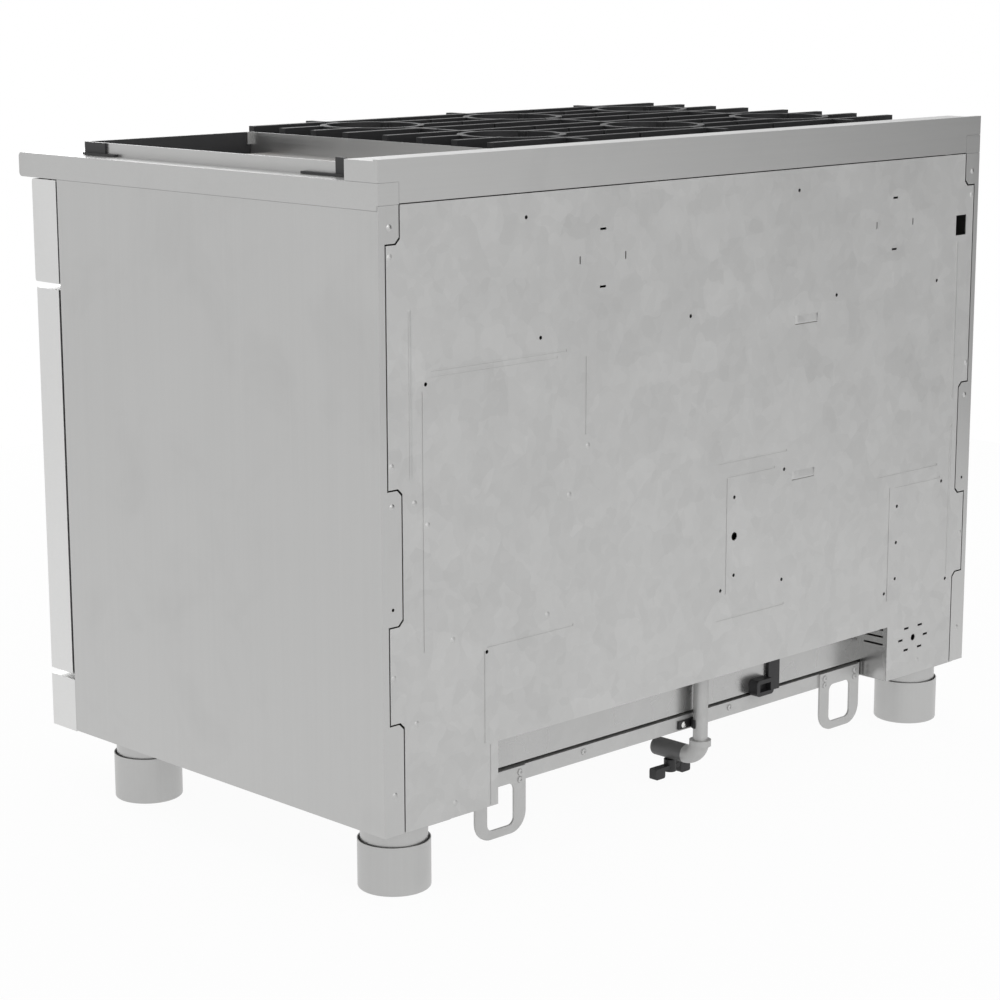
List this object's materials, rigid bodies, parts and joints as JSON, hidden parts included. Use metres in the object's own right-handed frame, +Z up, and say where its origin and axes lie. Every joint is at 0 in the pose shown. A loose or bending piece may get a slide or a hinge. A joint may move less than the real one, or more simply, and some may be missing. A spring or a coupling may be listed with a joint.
{
  "type": "commercial gas range",
  "caption": "Free-standing restaurant gas range with open burners, a griddle, two ovens with drop-down doors, and a rear gas connection.",
  "frame": {"origin": "on the floor, below the middle of the bounding box", "axes": "+Z up, +X to the cook's right, the cook stands on the -Y side and the rear face looks along +Y"},
  "size_m": [1.216, 0.7772, 0.935],
  "materials": {
    "stainless": "brushed along its length",
    "galvanised": "galvanised, faint spangle",
    "enamel_black": "glossy porcelain enamel",
    "enamel_grey": "speckled oven enamel",
    "cast_iron": "matte, seasoned",
    "burner_iron": "as cast",
    "griddle_steel": "ground plate",
    "black_steel": "satin black",
    "brass": "machined",
    "gas_steel": "bare pipe",
    "dark_cast": "dark grey valve body",
    "black_plastic": "moulded",
    "knob_black": "moulded, satin",
    "chrome_wire": "bright wire",
    "wool": "mineral wool blanket"
  },
  "bodies": {
    "chassis": {"burner_wells": "enamel_black", "burners": "burner_iron", "chassis_frame": "galvanised", "control_panel": "stainless", "gas_manifold": "gas_steel", "gas_pipe": "gas_steel", "gas_recess_box": "galvanised", "griddle_guards": "stainless", "griddle_plate": "griddle_steel", "griddle_trough": "black_steel", "kick_plate": "stainless", "leg_tubes": "stainless", "oven_box_large": "enamel_grey", "oven_box_small": "enamel_grey", "oven_insulation": "wool", "oven_racks": "chrome_wire", "rear_fittings": "black_plastic", "rear_panel": "galvanised", "rear_rail": "galvanised", "rear_trim": "stainless", "shutoff_valve": "dark_cast", "side_panel_left": "stainless", "side_panel_right": "stainless", "valve_bodies": "brass", "worktop": "stainless"},
    "door_large": {"door_skin_large": "stainless", "door_liner_large": "stainless", "door_handle_large": "stainless"},
    "door_small": {"door_skin_small": "stainless", "door_liner_small": "stainless", "door_handle_small": "stainless"},
    "valve_plug_1": {"valve_plug_1": "brass"},
    "knob_1": {"knob_1": "knob_black"},
    "valve_plug_2": {"valve_plug_2": "brass"},
    "knob_2": {"knob_2": "knob_black"},
    "valve_plug_3": {"valve_plug_3": "brass"},
    "knob_3": {"knob_3": "knob_black"},
    "valve_plug_4": {"valve_plug_4": "brass"},
    "knob_4": {"knob_4": "knob_black"},
    "valve_plug_5": {"valve_plug_5": "brass"},
    "knob_5": {"knob_5": "knob_black"},
    "valve_plug_6": {"valve_plug_6": "brass"},
    "knob_6": {"knob_6": "knob_black"},
    "valve_plug_7": {"valve_plug_7": "brass"},
    "knob_7": {"knob_7": "knob_black"},
    "valve_plug_8": {"valve_plug_8": "brass"},
    "knob_8": {"knob_8": "knob_black"},
    "valve_plug_9": {"valve_plug_9": "brass"},
    "knob_9": {"knob_9": "knob_black"},
    "grate_front_left": {"grate_front_left": "cast_iron"},
    "grate_front_middle": {"grate_front_middle": "cast_iron"},
    "grate_front_right": {"grate_front_right": "cast_iron"},
    "grate_rear_left": {"grate_rear_left": "cast_iron"},
    "grate_rear_middle": {"grate_rear_middle": "cast_iron"},
    "grate_rear_right": {"grate_rear_right": "cast_iron"},
    "foot_front_right": {"foot_front_right": "stainless"},
    "foot_front_left": {"foot_front_left": "stainless"},
    "foot_rear_right": {"foot_rear_right": "stainless"},
    "foot_rear_left": {"foot_rear_left": "stainless"},
    "shutoff_handle": {"shutoff_handle": "black_plastic"}
  },
  "joints": [
    {"name": "door_large_hinge", "type": "hinge", "parent": "chassis", "child": "door_large", "pos_m": [-0.231, -0.3116, 0.19], "axis": [1, 0, 0], "range_deg": [0, 90], "stiffness_Nm_per_rad": 9, "springref_deg": -28.65},
    {"name": "door_small_hinge", "type": "hinge", "parent": "chassis", "child": "door_small", "pos_m": [0.379, -0.3116, 0.19], "axis": [1, 0, 0], "range_deg": [0, 90], "stiffness_Nm_per_rad": 5.5, "springref_deg": -28.65},
    {"name": "knob_1_turn", "type": "hinge", "parent": "chassis", "child": "valve_plug_1", "pos_m": [-0.49422, -0.3286, 0.8015], "axis": [0, -1, 0], "range_deg": [0, 220]},
    {"name": "knob_1_push", "type": "slide", "parent": "valve_plug_1", "child": "knob_1", "axis": [0, 1, 0], "range_m": [0, 0.003], "stiffness_N_per_m": 600, "springref_m": -0.004},
    {"name": "knob_2_turn", "type": "hinge", "parent": "chassis", "child": "valve_plug_2", "pos_m": [-0.37067, -0.3286, 0.8015], "axis": [0, -1, 0], "range_deg": [0, 220]},
    {"name": "knob_2_push", "type": "slide", "parent": "valve_plug_2", "child": "knob_2", "axis": [0, 1, 0], "range_m": [0, 0.003], "stiffness_N_per_m": 600, "springref_m": -0.004},
    {"name": "knob_3_turn", "type": "hinge", "parent": "chassis", "child": "valve_plug_3", "pos_m": [-0.24711, -0.3286, 0.8015], "axis": [0, -1, 0], "range_deg": [0, 220]},
    {"name": "knob_3_push", "type": "slide", "parent": "valve_plug_3", "child": "knob_3", "axis": [0, 1, 0], "range_m": [0, 0.003], "stiffness_N_per_m": 600, "springref_m": -0.004},
    {"name": "knob_4_turn", "type": "hinge", "parent": "chassis", "child": "valve_plug_4", "pos_m": [-0.12356, -0.3286, 0.8015], "axis": [0, -1, 0], "range_deg": [0, 220]},
    {"name": "knob_4_push", "type": "slide", "parent": "valve_plug_4", "child": "knob_4", "axis": [0, 1, 0], "range_m": [0, 0.003], "stiffness_N_per_m": 600, "springref_m": -0.004},
    {"name": "knob_5_turn", "type": "hinge", "parent": "chassis", "child": "valve_plug_5", "pos_m": [0, -0.3286, 0.8015], "axis": [0, -1, 0], "range_deg": [0, 220]},
    {"name": "knob_5_push", "type": "slide", "parent": "valve_plug_5", "child": "knob_5", "axis": [0, 1, 0], "range_m": [0, 0.003], "stiffness_N_per_m": 600, "springref_m": -0.004},
    {"name": "knob_6_turn", "type": "hinge", "parent": "chassis", "child": "valve_plug_6", "pos_m": [0.12356, -0.3286, 0.8015], "axis": [0, -1, 0], "range_deg": [0, 220]},
    {"name": "knob_6_push", "type": "slide", "parent": "valve_plug_6", "child": "knob_6", "axis": [0, 1, 0], "range_m": [0, 0.003], "stiffness_N_per_m": 600, "springref_m": -0.004},
    {"name": "knob_7_turn", "type": "hinge", "parent": "chassis", "child": "valve_plug_7", "pos_m": [0.24711, -0.3286, 0.8015], "axis": [0, -1, 0], "range_deg": [0, 220]},
    {"name": "knob_7_push", "type": "slide", "parent": "valve_plug_7", "child": "knob_7", "axis": [0, 1, 0], "range_m": [0, 0.003], "stiffness_N_per_m": 600, "springref_m": -0.004},
    {"name": "knob_8_turn", "type": "hinge", "parent": "chassis", "child": "valve_plug_8", "pos_m": [0.37067, -0.3286, 0.8015], "axis": [0, -1, 0], "range_deg": [0, 270]},
    {"name": "knob_8_push", "type": "slide", "parent": "valve_plug_8", "child": "knob_8", "axis": [0, 1, 0], "range_m": [0, 0.003], "stiffness_N_per_m": 600, "springref_m": -0.004},
    {"name": "knob_9_turn", "type": "hinge", "parent": "chassis", "child": "valve_plug_9", "pos_m": [0.49422, -0.3286, 0.8015], "axis": [0, -1, 0], "range_deg": [0, 270]},
    {"name": "knob_9_push", "type": "slide", "parent": "valve_plug_9", "child": "knob_9", "axis": [0, 1, 0], "range_m": [0, 0.003], "stiffness_N_per_m": 600, "springref_m": -0.004},
    {"name": "grate_front_left_lift", "type": "slide", "parent": "chassis", "child": "grate_front_left", "axis": [0, 0, 1], "range_m": [0, 0.08]},
    {"name": "grate_front_middle_lift", "type": "slide", "parent": "chassis", "child": "grate_front_middle", "axis": [0, 0, 1], "range_m": [0, 0.08]},
    {"name": "grate_front_right_lift", "type": "slide", "parent": "chassis", "child": "grate_front_right", "axis": [0, 0, 1], "range_m": [0, 0.08]},
    {"name": "grate_rear_left_lift", "type": "slide", "parent": "chassis", "child": "grate_rear_left", "axis": [0, 0, 1], "range_m": [0, 0.08]},
    {"name": "grate_rear_middle_lift", "type": "slide", "parent": "chassis", "child": "grate_rear_middle", "axis": [0, 0, 1], "range_m": [0, 0.08]},
    {"name": "grate_rear_right_lift", "type": "slide", "parent": "chassis", "child": "grate_rear_right", "axis": [0, 0, 1], "range_m": [0, 0.08]},
    {"name": "foot_front_right_level", "type": "slide", "parent": "chassis", "child": "foot_front_right", "axis": [0, 0, 1], "range_m": [-0.022, 0.022]},
    {"name": "foot_front_left_level", "type": "slide", "parent": "chassis", "child": "foot_front_left", "axis": [0, 0, 1], "range_m": [-0.022, 0.022]},
    {"name": "foot_rear_right_level", "type": "slide", "parent": "chassis", "child": "foot_rear_right", "axis": [0, 0, 1], "range_m": [-0.022, 0.022]},
    {"name": "foot_rear_left_level", "type": "slide", "parent": "chassis", "child": "foot_rear_left", "axis": [0, 0, 1], "range_m": [-0.022, 0.022]},
    {"name": "shutoff_turn", "type": "hinge", "parent": "chassis", "child": "shutoff_handle", "pos_m": [-0.027, 0.2954, 0.05], "axis": [0, 0, 1], "range_deg": [0, 90]}
  ]
}
